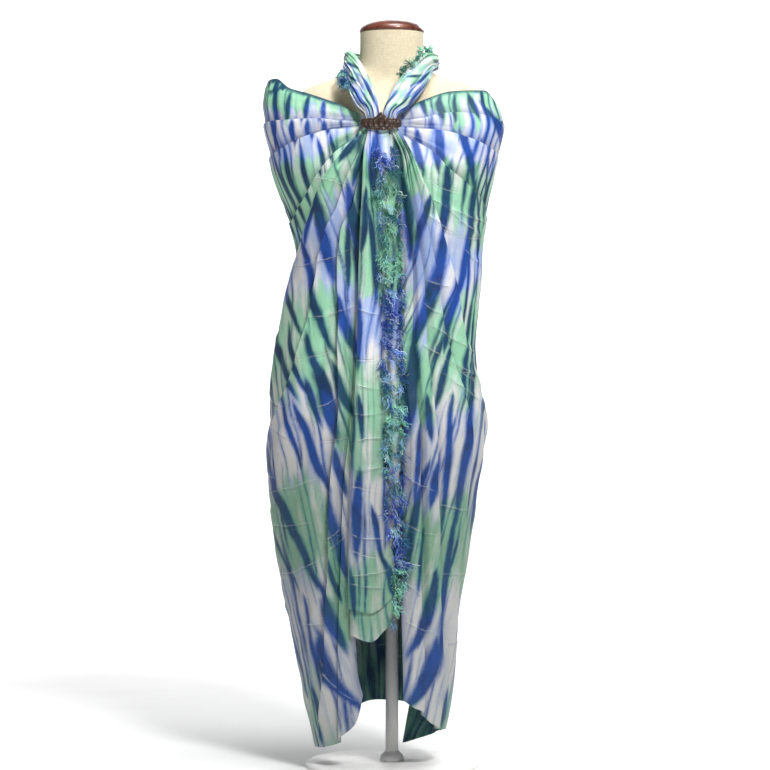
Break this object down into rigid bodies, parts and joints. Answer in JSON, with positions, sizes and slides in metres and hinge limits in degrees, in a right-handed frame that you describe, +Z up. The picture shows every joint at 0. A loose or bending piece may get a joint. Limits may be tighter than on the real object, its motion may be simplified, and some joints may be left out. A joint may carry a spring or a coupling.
{
  "type": "sarong on a dress form",
  "caption": "Tie-dyed fringed sarong worn as a halter wrap, gathered at a carved ring on the chest and falling in overlapping folds, on a limbless dress form with a round base.",
  "frame": {"origin": "centre of the round base's underside, under the dress form's neck", "axes": "+Z up; the front of the garment faces -Y; +X is on the viewer's right when looking at the front"},
  "size_m": [0.4168, 0.3284, 1.2878],
  "materials": {
    "cloth": "soft rayon with tie-dyed streaks and a slight sheen",
    "fringe": "matt twisted threads, dyed with the cloth",
    "ring": "dark carved shell or wood, lightly polished",
    "form_cover": "matt linen cover",
    "cap": "varnished dark wood",
    "stand": "satin pale paint"
  },
  "bodies": {
    "root": {"left_wrap": "cloth", "back_wrap": "cloth", "right_wrap": "cloth", "left_drape": "cloth", "right_drape": "cloth", "front_flap": "cloth", "under_flap": "cloth", "left_strap": "cloth", "right_strap": "cloth", "nape_knot": "cloth", "left_tail": "cloth", "right_tail": "cloth", "front_fringe": "fringe", "under_fringe": "fringe", "left_strap_fringe": "fringe", "right_strap_fringe": "fringe", "ring": "ring", "dress_form": "form_cover", "neck_cap": "cap", "pole": "stand", "base": "stand"}
  },
  "joints": []
}
